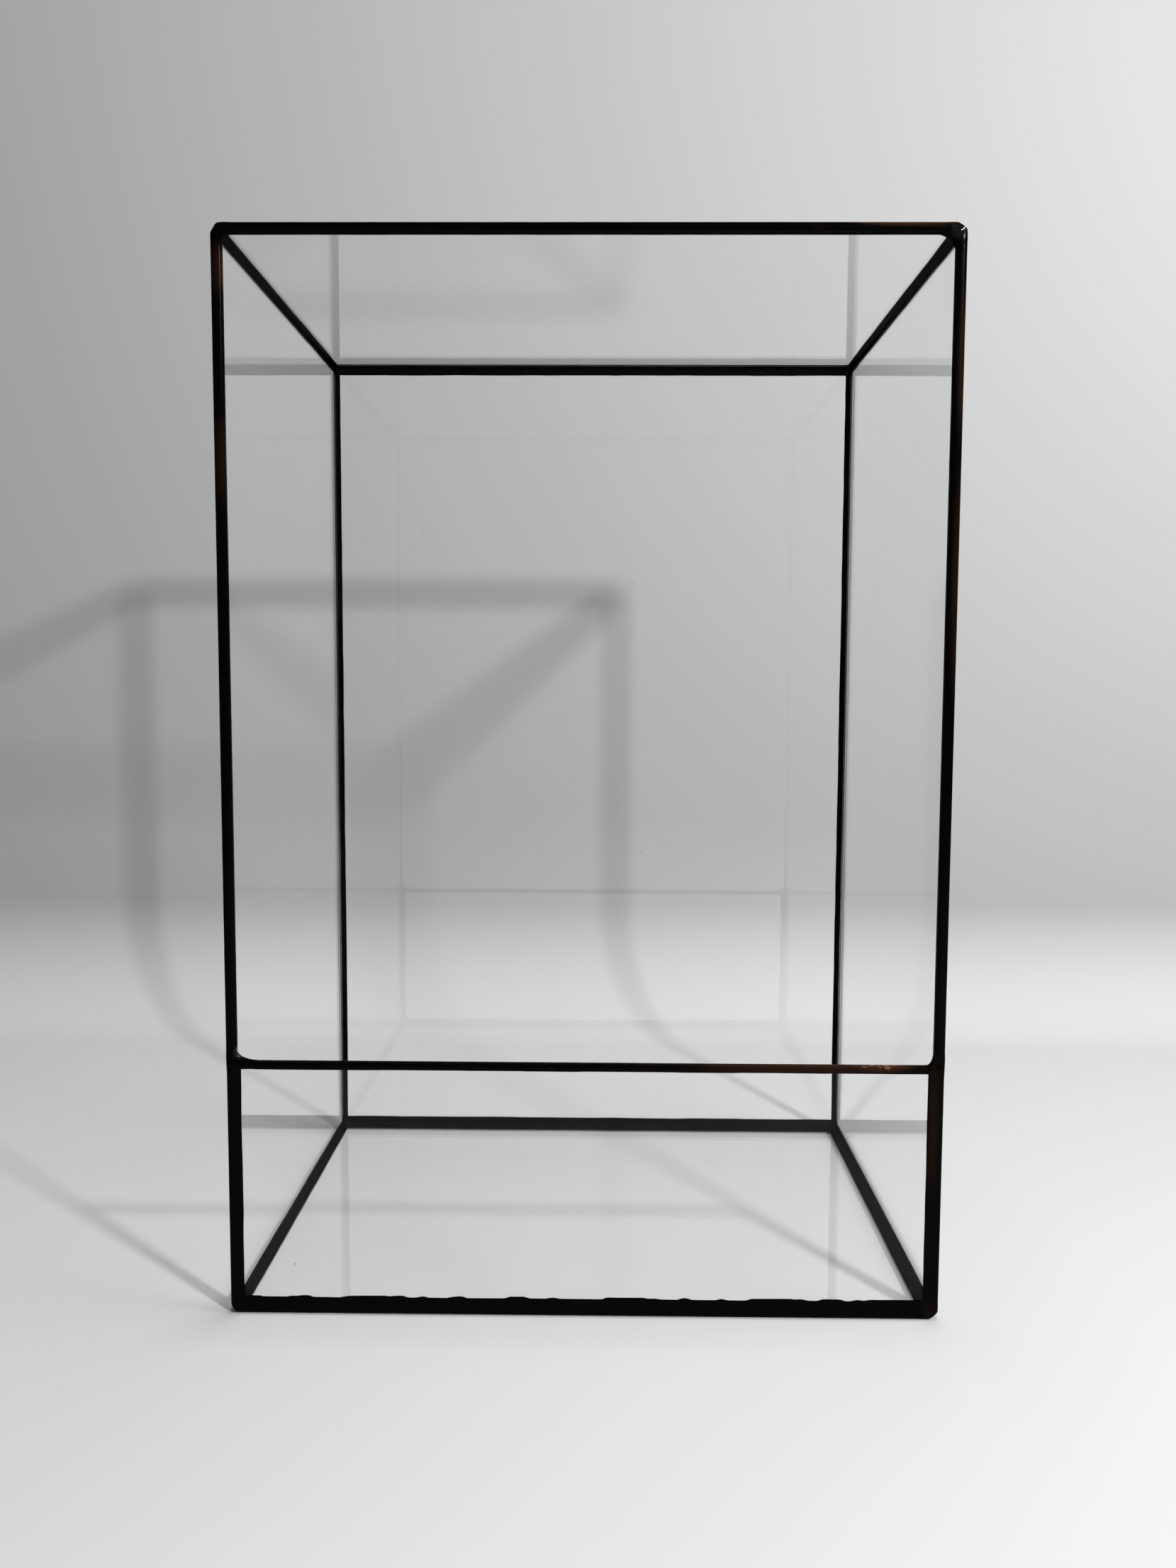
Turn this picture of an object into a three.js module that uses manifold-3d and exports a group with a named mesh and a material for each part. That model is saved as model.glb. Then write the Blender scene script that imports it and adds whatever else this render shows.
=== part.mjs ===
import * as THREE from "three";
import { mergeVertices } from "three/addons/utils/BufferGeometryUtils.js";
import Module from "manifold-3d";

// A tall glass terrarium with an open front above a low sill, made of six flat panes.
// Copper foil wraps the edges of every pane, and patinated solder joins the foiled edges.
// Millimetres, +Z up, the open front faces -Y, origin at the middle of the footprint.

// Outside of the finished box
const width = 200;
const depth = 150;
const height = 300;
const sillHeight = 73;

// Sheet glass and foil tape
const glassThickness = 2;
const foilWidth = 4.8;
const foilThickness = 0.05;
const fitGap = 0.03; // the adhesive under the foil, and the flux film over it

// Solder
const solderSkin = 0.2; // over the foil on the faces of the glass
const edgeCrown = 0.45; // over the foil on a free edge
const webGap = 0.15; // between two foiled edges that meet
const lipTaper = 0.3; // where the solder thins out towards the bare glass
const filletEdge = 0.08; // thickness of a fillet where it ends
const filletOverhang = 0.15; // how far a fillet runs past the foil
const heavyFilletLeg = 3.1; // the two level seams at the back
const sillFilletLeg = 1.2; // behind the sill pane, on the side panes
const jointLand = 0.5; // from the thick of a corner or joint to where its seams begin

// The puddles of solder in the two corners of the opening, on the sill
const puddles = {
  left: { side: -1, width: 6, height: 3.1 },
  right: { side: 1, width: 1.8, height: 5 },
};

// Shares of the sizes they are used with
const lipDropShare = 0.5; // how much of the skin is left off at the tip of a lip
const roundShare = 0.82; // of the largest round that still covers the foil
const filletSagShare = 0.6; // 0 is a straight fillet, 1 is drawn right into the corner
const puddleSagShare = 0.8;
const arcSteps = 3;
const mergeDistance = 1e-4;

// Distances inwards from the outside of the solder
const wrap = fitGap + foilThickness + fitGap; // from the glass to the solder
const faceInset = solderSkin + wrap; // outer face of a pane
const innerFace = faceInset + glassThickness; // inner face of a pane
const glassMiddle = (faceInset + innerFace) / 2;
const cornerInset = innerFace + wrap + webGap + wrap; // edge of a pane in a closed seam
const freeInset = edgeCrown + wrap; // edge of a pane at a free edge
const foilOverlap = (foilWidth - glassThickness) / 2;
const lipReach = cornerInset + foilOverlap; // end of the solder on both sides of a seam
const beadReach = freeInset + foilOverlap; // end of the solder behind a free edge
const beadThickness = innerFace + faceInset;
const filletReach = lipReach + filletOverhang;
const heavyFilletReach = innerFace + heavyFilletLeg;
const cornerReach = Math.max(filletReach, heavyFilletReach) + jointLand;
const lipDrop = solderSkin * lipDropShare;

// The round on an outer edge whose foiled glass lies at these two depths under the solder
const coveringRound = (skin, crown) => roundShare * (skin + crown + Math.sqrt(2 * skin * crown));
const seamRound = coveringRound(solderSkin, cornerInset - wrap);
const beadRound = coveringRound(solderSkin, edgeCrown);

const halfWidth = width / 2;
const halfDepth = depth / 2;

const wasm = await Module();
wasm.setup();

const glass = new THREE.MeshStandardMaterial({
  color: 0xdfe9e6, roughness: 0.03, metalness: 0, transparent: true, opacity: 0.2,
});
const copperFoil = new THREE.MeshStandardMaterial({ color: 0xa8623c, roughness: 0.35, metalness: 1 });
const patinatedSolder = new THREE.MeshStandardMaterial({ color: 0x17130f, roughness: 0.4, metalness: 0.8 });

function solidFrom(geometry) {
  const bare = geometry.clone();
  bare.deleteAttribute("normal");
  bare.deleteAttribute("uv");
  const merged = mergeVertices(bare, mergeDistance);
  return new wasm.Manifold(new wasm.Mesh({
    numProp: 3,
    vertProperties: Float32Array.from(merged.attributes.position.array),
    triVerts: Uint32Array.from(merged.index.array),
  }));
}

function geometryFrom(solid) {
  const mesh = solid.getMesh();
  const geometry = new THREE.BufferGeometry();
  geometry.setAttribute("position", new THREE.BufferAttribute(mesh.vertProperties, 3));
  geometry.setIndex(new THREE.BufferAttribute(mesh.triVerts, 1));
  geometry.computeVertexNormals();
  return geometry;
}

function boxSolid(box) {
  const size = box.getSize(new THREE.Vector3());
  const centre = box.getCenter(new THREE.Vector3());
  const geometry = new THREE.BoxGeometry(size.x, size.y, size.z);
  return solidFrom(geometry.translate(centre.x, centre.y, centre.z));
}

const boxBetween = (low, high) => new THREE.Box3(new THREE.Vector3(...low), new THREE.Vector3(...high));
const grown = (box, margin) => box.clone().expandByScalar(margin);

// The panes. Edges that meet another pane stop at cornerInset, so that two panes meet inner edge
// to inner edge; the sill pane stands between the side panes, flush with their front edges.
const inX = halfWidth - cornerInset;
const inY = halfDepth - cornerInset;
const freeY = freeInset - halfDepth;
const inTop = height - cornerInset;
const sidePane = (side) => boxBetween(
  [Math.min(side * (halfWidth - faceInset), side * (halfWidth - innerFace)), freeY, cornerInset],
  [Math.max(side * (halfWidth - faceInset), side * (halfWidth - innerFace)), inY, inTop],
);
const panes = {
  base: { thin: "z", box: boxBetween([-inX, -inY, faceInset], [inX, inY, innerFace]) },
  back: {
    thin: "y",
    box: boxBetween([-inX, halfDepth - innerFace, cornerInset], [inX, halfDepth - faceInset, inTop]),
  },
  left: { thin: "x", box: sidePane(-1) },
  right: { thin: "x", box: sidePane(1) },
  top: { thin: "z", box: boxBetween([-inX, freeY, height - innerFace], [inX, inY, height - faceInset]) },
  sill: {
    thin: "y",
    box: boxBetween(
      [-inX, faceInset - halfDepth, cornerInset],
      [inX, innerFace - halfDepth, sillHeight - freeInset],
    ),
  },
};

// Everything that the solder flows round: the panes in their foil
const foiledPanes = Object.values(panes)
  .map((pane) => boxSolid(grown(pane.box, wrap)))
  .reduce((all, one) => all.add(one));

// A channel of foil round all four edges of a pane, folded over both faces
function foilSolid(pane) {
  const window = grown(pane.box, -foilOverlap);
  window.min[pane.thin] = pane.box.min[pane.thin] - glassThickness;
  window.max[pane.thin] = pane.box.max[pane.thin] + glassThickness;
  return boxSolid(grown(pane.box, fitGap + foilThickness))
    .subtract(boxSolid(grown(pane.box, fitGap)))
    .subtract(boxSolid(window));
}

// Section of a seam between two panes. P and Q run inwards from the two outer faces that meet.
// The panes cut their own room out of it, which leaves a web of solder between them.
function seamShape({ round, lipP, lipQ, filletP, filletQ }) {
  const land = innerFace + wrap + filletEdge;
  const sagP = THREE.MathUtils.lerp((land + filletP) / 2, land, filletSagShare);
  const sagQ = THREE.MathUtils.lerp((land + filletQ) / 2, land, filletSagShare);
  const shape = new THREE.Shape();
  shape.moveTo(0, round);
  shape.absarc(round, round, round, Math.PI, 1.5 * Math.PI, false);
  shape.lineTo(lipP - lipTaper, 0);
  shape.lineTo(lipP, lipDrop);
  shape.lineTo(lipP, glassMiddle);
  shape.lineTo(filletP, glassMiddle);
  shape.lineTo(filletP, land);
  shape.quadraticCurveTo(sagP, sagQ, land, filletQ);
  shape.lineTo(glassMiddle, filletQ);
  shape.lineTo(glassMiddle, lipQ);
  shape.lineTo(lipDrop, lipQ);
  shape.lineTo(0, lipQ - lipTaper);
  shape.closePath();
  return shape;
}

// Section of the bead round one free edge. P crosses the pane, Q runs in from the edge.
function beadShape() {
  const shape = new THREE.Shape();
  shape.moveTo(0, beadRound);
  shape.absarc(beadRound, beadRound, beadRound, Math.PI, 1.5 * Math.PI, false);
  shape.lineTo(beadThickness - beadRound, 0);
  shape.absarc(beadThickness - beadRound, beadRound, beadRound, -Math.PI / 2, 0, false);
  shape.lineTo(beadThickness, beadReach - lipTaper);
  shape.lineTo(beadThickness - lipDrop, beadReach);
  shape.lineTo(lipDrop, beadReach);
  shape.lineTo(0, beadReach - lipTaper);
  shape.closePath();
  return shape;
}

// A square with one corner rounded, as far as the corner joints reach
function roundedCornerShape(round) {
  const shape = new THREE.Shape();
  shape.moveTo(0, round);
  shape.absarc(round, round, round, Math.PI, 1.5 * Math.PI, false);
  shape.lineTo(cornerReach, 0);
  shape.lineTo(cornerReach, cornerReach);
  shape.lineTo(0, cornerReach);
  shape.closePath();
  return shape;
}

const evenLips = { lipP: lipReach, lipQ: lipReach };
const sections = {
  seam: {
    round: seamRound,
    shape: seamShape({ round: seamRound, ...evenLips, filletP: filletReach, filletQ: filletReach }),
  },
  heavySeam: {
    round: seamRound,
    shape: seamShape({
      round: seamRound, ...evenLips, filletP: heavyFilletReach, filletQ: heavyFilletReach,
    }),
  },
  sillSeam: {
    round: beadRound,
    shape: seamShape({
      round: beadRound,
      lipP: lipReach,
      lipQ: beadReach,
      filletP: filletReach,
      filletQ: innerFace + sillFilletLeg,
    }),
  },
  bead: { round: beadRound, shape: beadShape() },
};

// Every line of solder: its axis, its outer edge, the two ways inwards, and its section
const line = (axis, edge, p, q, section) => ({
  axis,
  edge: new THREE.Vector3(...edge),
  p: new THREE.Vector3(...p),
  q: new THREE.Vector3(...q),
  ...section,
});
const { seam, heavySeam, sillSeam, bead } = sections;
const lines = {
  bottom_front_seam: line("x", [0, -halfDepth, 0], [0, 1, 0], [0, 0, 1], seam),
  bottom_back_seam: line("x", [0, halfDepth, 0], [0, -1, 0], [0, 0, 1], heavySeam),
  bottom_left_seam: line("y", [-halfWidth, 0, 0], [1, 0, 0], [0, 0, 1], seam),
  bottom_right_seam: line("y", [halfWidth, 0, 0], [-1, 0, 0], [0, 0, 1], seam),
  top_back_seam: line("x", [0, halfDepth, height], [0, -1, 0], [0, 0, -1], heavySeam),
  top_left_seam: line("y", [-halfWidth, 0, height], [1, 0, 0], [0, 0, -1], seam),
  top_right_seam: line("y", [halfWidth, 0, height], [-1, 0, 0], [0, 0, -1], seam),
  back_left_seam: line("z", [-halfWidth, halfDepth, 0], [1, 0, 0], [0, -1, 0], seam),
  back_right_seam: line("z", [halfWidth, halfDepth, 0], [-1, 0, 0], [0, -1, 0], seam),
  sill_left_seam: line("z", [-halfWidth, -halfDepth, 0], [1, 0, 0], [0, 1, 0], sillSeam),
  sill_right_seam: line("z", [halfWidth, -halfDepth, 0], [-1, 0, 0], [0, 1, 0], sillSeam),
  front_left_bead: line("z", [-halfWidth, -halfDepth, 0], [1, 0, 0], [0, 1, 0], bead),
  front_right_bead: line("z", [halfWidth, -halfDepth, 0], [-1, 0, 0], [0, 1, 0], bead),
  top_front_bead: line("x", [0, -halfDepth, height], [0, 0, -1], [0, 1, 0], bead),
  sill_rim_bead: line("x", [0, -halfDepth, sillHeight], [0, 1, 0], [0, 0, -1], bead),
};

// A section drawn on P and Q and drawn out along their common normal, centred on a place
function drawnOut(shape, p, q, centre, length) {
  const geometry = new THREE.ExtrudeGeometry(shape, {
    depth: length, steps: 1, bevelEnabled: false, curveSegments: arcSteps,
  });
  geometry.translate(0, 0, -length / 2);
  const along = new THREE.Vector3().crossVectors(p, q);
  geometry.applyMatrix4(new THREE.Matrix4().makeBasis(p, q, along).setPosition(centre));
  return solidFrom(geometry);
}

// The stretch of a line between two places on its axis, before the panes are cut out of it
function stretch(run, from, to, shape = run.shape) {
  const centre = run.edge.clone();
  centre[run.axis] = (from + to) / 2;
  return drawnOut(shape, run.p, run.q, centre, Math.abs(to - from));
}

const poured = (solid) => solid.subtract(foiledPanes);

// The lump of solder where three lines meet, rounded alike along all three outer edges
function cornerSolid(meeting, vertex) {
  const ends = meeting.map((run) => {
    const inwards = -Math.sign(vertex[run.axis] - (run.axis === "z" ? height / 2 : 0));
    return [vertex[run.axis], vertex[run.axis] + inwards * cornerReach];
  });
  const lump = meeting
    .map((run, i) => stretch(run, ...ends[i]))
    .reduce((all, one) => all.add(one));
  const rounded = meeting
    .map((run, i) => stretch(run, ...ends[i], roundedCornerShape(run.round)))
    .reduce((all, one) => all.intersect(one));
  return poured(lump.intersect(rounded));
}

// How far the sill joints reach from the top of the sill and from the sides
const jointBelow = sillHeight - beadReach - jointLand;
const jointAbove = (puddle) => sillHeight + puddle.height + jointLand;
const jointReach = (puddle) => beadThickness + puddle.width + jointLand;

// Where the sill's rim runs into a side: edge bead above, seam below, and a puddle in the corner
function sillJointSolid(name, puddle) {
  const sideX = puddle.side * halfWidth;
  const inwards = new THREE.Vector3(-puddle.side, 0, 0);
  const bank = new THREE.Shape();
  bank.moveTo(glassMiddle, -edgeCrown);
  bank.lineTo(beadThickness + puddle.width, -edgeCrown);
  bank.lineTo(beadThickness + puddle.width, 0);
  bank.quadraticCurveTo(
    beadThickness + (puddle.width / 2) * (1 - puddleSagShare),
    (puddle.height / 2) * (1 - puddleSagShare),
    beadThickness,
    puddle.height,
  );
  bank.lineTo(glassMiddle, puddle.height);
  bank.closePath();
  const bankDepth = beadReach - lipTaper - solderSkin;
  const bankCentre = new THREE.Vector3(sideX, solderSkin + bankDepth / 2 - halfDepth, sillHeight);
  const rim = lines.sill_rim_bead;
  return poured(
    stretch(lines[`front_${name}_bead`], jointBelow, jointAbove(puddle))
      .add(stretch(lines[`sill_${name}_seam`], jointBelow, sillHeight - edgeCrown))
      .add(stretch(
        rim,
        sideX - puddle.side * glassMiddle,
        sideX - puddle.side * jointReach(puddle),
      ))
      .add(drawnOut(bank, inwards, new THREE.Vector3(0, 0, 1), bankCentre, bankDepth)),
  );
}

const terrarium = new THREE.Group();
const glassGroup = new THREE.Group();
const foilGroup = new THREE.Group();
const solderGroup = new THREE.Group();
terrarium.add(glassGroup, foilGroup, solderGroup);

function addMesh(group, name, geometry, material) {
  const mesh = new THREE.Mesh(geometry, material);
  mesh.name = name;
  group.add(mesh);
  return mesh;
}

for (const [name, pane] of Object.entries(panes)) {
  const size = pane.box.getSize(new THREE.Vector3());
  const sheet = addMesh(glassGroup, `${name}_glass`, new THREE.BoxGeometry(...size), glass);
  pane.box.getCenter(sheet.position);
  addMesh(foilGroup, `${name}_foil`, geometryFrom(foilSolid(pane)), copperFoil);
}

// The plain stretches, from one corner or joint to the next
const across = [cornerReach - halfWidth, halfWidth - cornerReach];
const fromFrontToBack = [cornerReach - halfDepth, halfDepth - cornerReach];
const upright = [cornerReach, height - cornerReach];
const besideSill = [cornerReach, jointBelow];
const spans = {
  bottom_front_seam: across,
  bottom_back_seam: across,
  bottom_left_seam: fromFrontToBack,
  bottom_right_seam: fromFrontToBack,
  top_back_seam: across,
  top_left_seam: fromFrontToBack,
  top_right_seam: fromFrontToBack,
  back_left_seam: upright,
  back_right_seam: upright,
  sill_left_seam: besideSill,
  sill_right_seam: besideSill,
  front_left_bead: [jointAbove(puddles.left), height - cornerReach],
  front_right_bead: [jointAbove(puddles.right), height - cornerReach],
  top_front_bead: across,
  sill_rim_bead: [jointReach(puddles.left) - halfWidth, halfWidth - jointReach(puddles.right)],
};
for (const [name, span] of Object.entries(spans)) {
  const solid = poured(stretch(lines[name], ...span));
  addMesh(solderGroup, name, geometryFrom(solid), patinatedSolder);
}

// The eight corners
for (const [side, sideX] of [["left", -halfWidth], ["right", halfWidth]]) {
  const corners = {
    bottom_front: [sideX, -halfDepth, 0, `sill_${side}_seam`],
    bottom_back: [sideX, halfDepth, 0, `back_${side}_seam`],
    top_front: [sideX, -halfDepth, height, `front_${side}_bead`],
    top_back: [sideX, halfDepth, height, `back_${side}_seam`],
  };
  for (const [place, [x, y, z, uprightLine]] of Object.entries(corners)) {
    const level = place.startsWith("top") ? "top" : "bottom";
    const crossing = place === "top_front" ? "top_front_bead" : `${place}_seam`;
    const meeting = [lines[crossing], lines[`${level}_${side}_seam`], lines[uprightLine]];
    const solid = cornerSolid(meeting, new THREE.Vector3(x, y, z));
    addMesh(solderGroup, `${place}_${side}_corner`, geometryFrom(solid), patinatedSolder);
  }
}

for (const [name, puddle] of Object.entries(puddles)) {
  addMesh(solderGroup, `sill_${name}_joint`, geometryFrom(sillJointSolid(name, puddle)), patinatedSolder);
}

export default terrarium;
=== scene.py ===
import math

import bpy
from mathutils import Matrix, Vector, noise


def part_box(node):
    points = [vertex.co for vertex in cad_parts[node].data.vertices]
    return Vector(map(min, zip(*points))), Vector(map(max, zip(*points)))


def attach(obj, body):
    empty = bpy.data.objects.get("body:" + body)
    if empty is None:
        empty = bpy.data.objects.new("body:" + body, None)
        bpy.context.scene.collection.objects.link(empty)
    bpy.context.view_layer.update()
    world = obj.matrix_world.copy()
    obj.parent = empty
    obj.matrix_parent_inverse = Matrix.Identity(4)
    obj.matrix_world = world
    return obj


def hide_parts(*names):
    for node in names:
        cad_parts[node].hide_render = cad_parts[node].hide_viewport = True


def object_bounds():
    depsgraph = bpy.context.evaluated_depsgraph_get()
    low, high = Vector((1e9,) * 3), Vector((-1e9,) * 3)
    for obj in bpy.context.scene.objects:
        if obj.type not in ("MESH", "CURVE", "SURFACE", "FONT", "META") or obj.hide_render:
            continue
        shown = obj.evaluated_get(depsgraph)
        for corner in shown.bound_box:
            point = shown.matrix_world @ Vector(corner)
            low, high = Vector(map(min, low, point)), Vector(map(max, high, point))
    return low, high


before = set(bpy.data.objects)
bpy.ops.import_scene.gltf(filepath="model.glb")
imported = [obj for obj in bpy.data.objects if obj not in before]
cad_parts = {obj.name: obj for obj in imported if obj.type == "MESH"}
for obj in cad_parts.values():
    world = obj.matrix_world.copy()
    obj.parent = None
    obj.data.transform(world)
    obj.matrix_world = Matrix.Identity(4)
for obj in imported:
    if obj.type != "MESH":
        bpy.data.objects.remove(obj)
cadBox = [list(corner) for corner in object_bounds()]
mm = 0.001


# Sizes of the box, read from its panes and solder

def span(node, axis):
    low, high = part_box(node)
    return low[axis], high[axis]


halfWidth, halfDepth, height = cadBox[1]
faceInset, innerFace = span("base_glass", 2)  # outer and inner face of a pane, from the outside
cornerInset = span("left_glass", 2)[0]  # edge of a pane where it meets another
freeInset = span("left_glass", 1)[0] + halfDepth  # edge of a pane at a free edge
foilLift = faceInset - span("base_foil", 2)[0]  # outside of the foil, off the glass
sillTop = span("sill_rim_bead", 2)[1]
cornerReach = span("bottom_front_left_corner", 0)[1] + halfWidth
beadThickness = innerFace + faceInset

solder = {
    "lap": 1.4 * mm,  # of the foil over the glass
    "film": 0.03 * mm,  # between the foil and the solder
    "filletEdge": 0.09 * mm,
    "filletSag": 0.45,
    "crownDepth": 1.05 * mm,
    "crownPower": 2.4,
    "roundPower": 2.3,
    "meniscus": 0.55,  # lower is a blunter lip
    "lipEase": 1.6,  # higher sets more of a lip's points near its tip
    "swellFocus": 1.2,  # a round swells away from here, as a share of its middle
    "filletSwell": 0.7,  # share of the swelling that a fillet takes
    "arcSteps": 9,
    "lipSteps": 7,
    "filletSteps": 8,
    "ringStep": 0.8 * mm,
}
wrap = foilLift + solder["film"]  # from the glass to the solder
skin = faceInset - wrap  # solder over the foil
inside = innerFace + wrap  # solder's side of the inner foil
edgeOfFoil = cornerInset - wrap
crown = freeInset - wrap
lipReach = cornerInset + solder["lap"]
beadReach = freeInset + solder["lap"]


# Small tools

def newObject(name, mesh):
    made = bpy.data.objects.new(name, mesh)
    bpy.context.scene.collection.objects.link(made)
    return made


def plainMesh(host, name):  # what the host's modifiers make of it, as a new mesh
    bpy.context.view_layer.update()
    graph = bpy.context.evaluated_depsgraph_get()
    mesh = bpy.data.meshes.new_from_object(host.evaluated_get(graph), depsgraph=graph)
    mesh.name = name
    return mesh


def addNode(tree, kind, inputs, **settings):  # inputs are sockets to link or plain values
    node = tree.nodes.new(kind)
    for name, value in settings.items():
        setattr(node, name, value)
    for key, value in inputs.items():
        if isinstance(value, bpy.types.NodeSocket):
            tree.links.new(value, node.inputs[key])
        else:
            node.inputs[key].default_value = value
    return node.outputs


def mathsNode(tree, operation, *values):
    return addNode(tree, "ShaderNodeMath", dict(enumerate(values)), operation=operation)[0]


def ringFaces(a, b, count):  # between two closed rings of points that begin at a and b
    return [[a + i, b + i, b + (i + 1) % count, a + (i + 1) % count] for i in range(count)]


def towards(text):  # "+x" and the like as a unit vector
    unit = Vector((0.0, 0.0, 0.0))
    unit["xyz".index(text[1])] = 1.0 if text[0] == "+" else -1.0
    return unit


# The runs of solder. P and Q run inwards from the two outer faces that meet along a run.
# Lips, rounds, legs and bulges are in millimetres, and follow the photograph run by run.

seam = {"kind": "seam", "round": 2.7, "legP": 1.9, "legQ": 1.9, "lipP": 0.0, "lipQ": 0.0,
        "bulge": 0.12, "wander": 0.3, "scallop": 0.08, "scallopScale": 42.0, "drift": 0.0}
heavy = {**seam, "legP": 3.1, "legQ": 3.1, "wander": 0.4}
upright = {**seam, "legP": 1.65, "lipP": -0.4, "legQ": 2.1, "lipQ": -0.9}
sillEnd = {**seam, "kind": "sillEnd", "round": 1.1, "legP": 1.2, "legQ": 1.0, "scallop": 0.15}
bead = {**seam, "kind": "bead", "wander": 0.2, "bulge": 0.06}
runs = {
    "bottom_front_seam": {**seam, "sides": (None, -1, 0), "p": "+y", "q": "+z", "round": 1.6,
                          "legQ": 1.2, "lipQ": 1.3, "wander": 0.4, "scallop": 0.5,
                          "scallopScale": 95.0, "drift": 0.3},
    "bottom_back_seam": {**heavy, "sides": (None, 1, 0), "p": "-y", "q": "+z", "legP": 3.2, "legQ": 3.8},
    "bottom_left_seam": {**seam, "sides": (-1, None, 0), "p": "+x", "q": "+z",
                         "legP": 1.85, "legQ": 2.25, "lipQ": 0.35},
    "bottom_right_seam": {**seam, "sides": (1, None, 0), "p": "-x", "q": "+z",
                          "legP": 2.6, "lipP": 0.6, "legQ": 2.8, "lipQ": 0.8},
    "top_back_seam": {**heavy, "sides": (None, 1, 1), "p": "-y", "q": "-z",
                      "legP": 2.3, "lipP": -1.1, "legQ": 3.2},
    "top_left_seam": {**seam, "sides": (-1, None, 1), "p": "+x", "q": "-z",
                      "legP": 1.35, "lipP": -0.8, "legQ": 2.4, "lipQ": 0.65},
    "top_right_seam": {**seam, "sides": (1, None, 1), "p": "-x", "q": "-z",
                       "legP": 1.6, "lipP": -0.4, "legQ": 2.3, "lipQ": 0.55},
    "back_left_seam": {**upright, "sides": (-1, 1, None), "p": "+x", "q": "-y"},
    "back_right_seam": {**upright, "sides": (1, 1, None), "p": "-x", "q": "-y", "legP": 1.8},
    "sill_left_seam": {**sillEnd, "sides": (-1, -1, None), "p": "+x", "q": "+y", "lipP": -0.05},
    "sill_right_seam": {**sillEnd, "sides": (1, -1, None), "p": "-x", "q": "+y", "lipP": 0.25},
    "front_left_bead": {**bead, "sides": (-1, -1, None), "p": "+x", "q": "+y", "lipQ": 0.5, "bulge": 0.2},
    "front_right_bead": {**bead, "sides": (1, -1, None), "p": "-x", "q": "+y",
                         "lipQ": 0.9, "bulge": 0.18, "drift": -0.6},
    "top_front_bead": {**bead, "sides": (None, -1, 1), "p": "-z", "q": "+y",
                       "lipP": 0.3, "lipQ": 0.4, "bulge": 0.2},
    "sill_rim_bead": {**bead, "sides": (None, -1, "sill"), "p": "+y", "q": "-z",
                      "lipP": 0.25, "bulge": 0.2},
}
waves = {
    "tuck": 1.2,  # how far a run goes on inside its corners
    "lipScale": 55.0,
    "swell": 0.09,
    "swellScale": 140.0,
    "stepBand": (0.47, 0.53),  # of the noise, where a lip steps from one plateau to the next
    "scallopSeed": 7.3,
    "seedStep": 3.7,  # from one run to the next
}


def edgePoint(sides):
    x, y, z = sides
    level = {None: 0.0, 0: 0.0, 1: height, "sill": sillTop}[z]
    return Vector((halfWidth * (x or 0), halfDepth * (y or 0), level))


# A section of solder is a ring of points. Each also says how it slides when a lip wanders,
# and which way it swells.

def lipRing(reach, start, bulge):  # from the lip to where the round begins: depth, way along
    ring = []
    for i in range(solder["lipSteps"]):
        t = i / (solder["lipSteps"] - 1)
        rise = math.sin(t * math.pi / 2) ** solder["meniscus"]
        along = reach + (start - reach) * t ** solder["lipEase"]
        ring.append((skin - (skin + bulge) * rise, along, 1 - t, rise))
    return ring


def alongP(ring):
    return [((a, d), (slide, 0.0), (0.0, -swell)) for d, a, slide, swell in ring]


def alongQ(ring):
    return [((d, a), (0.0, slide), (-swell, 0.0)) for d, a, slide, swell in ring]


def still(p, q):
    return ((p, q), (0.0, 0.0), (0.0, 0.0))


def roundOff(a, b, bulgeP, bulgeQ, power):  # from (-bulgeP, b) round the edge to (a, -bulgeQ)
    ring = []
    for i in range(1, solder["arcSteps"]):
        turn = math.pi / 2 * i / solder["arcSteps"]
        across, up = math.cos(turn) ** (2 / power), math.sin(turn) ** (2 / power)
        point = Vector((a - (a + bulgeP) * across, b - (b + bulgeQ) * up))
        away = (point - Vector((a, b)) * solder["swellFocus"]).normalized()
        ring.append((tuple(point), (0.0, 0.0), tuple(away)))
    return ring


def fillet(reachP, reachQ):  # from the P pane's inner face to the Q pane's
    land = inside + solder["filletEdge"]
    start, end = Vector((reachP, land)), Vector((land, reachQ))
    pull = ((start + end) / 2).lerp(Vector((land, land)), solder["filletSag"])
    ring = [((reachP, inside), (1.0, 0.0), (0.0, 0.0))]
    steps = solder["filletSteps"]
    for i in range(steps + 1):
        t = i / steps
        point = (1 - t) ** 2 * start + 2 * t * (1 - t) * pull + t * t * end
        slide = (max(0.0, 1 - 3 * t), max(0.0, 3 * t - 2))  # the middle third stays
        swell = solder["filletSwell"] * math.sin(math.pi * t) ** 0.5 if 0 < t < 1 else 0.0
        ring.append((tuple(point), slide, (swell, swell)))
    ring.append(((inside, reachQ), (0.0, 1.0), (0.0, 0.0)))
    return ring


def joinedSection(run):  # two panes that meet
    rounded, bulge = run["round"] * mm, run["bulge"] * mm
    flatP = 0.0 if run["q"] == "+z" else bulge  # nothing bulges through the floor
    endQ, edgeQ = (beadReach, crown) if run["kind"] == "sillEnd" else (lipReach, edgeOfFoil)
    ring = alongP(lipRing(lipReach + run["lipP"] * mm, rounded, flatP))
    ring += roundOff(rounded, rounded, bulge, flatP, solder["roundPower"])[::-1]
    ring += alongQ(lipRing(endQ + run["lipQ"] * mm, rounded, bulge))[::-1]
    ring += [still(skin, edgeQ), still(inside, edgeQ)]
    ring += fillet(innerFace + run["legP"] * mm, innerFace + run["legQ"] * mm)[::-1]
    ring += [still(edgeOfFoil, inside), still(edgeOfFoil, skin)]
    return ring


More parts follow.
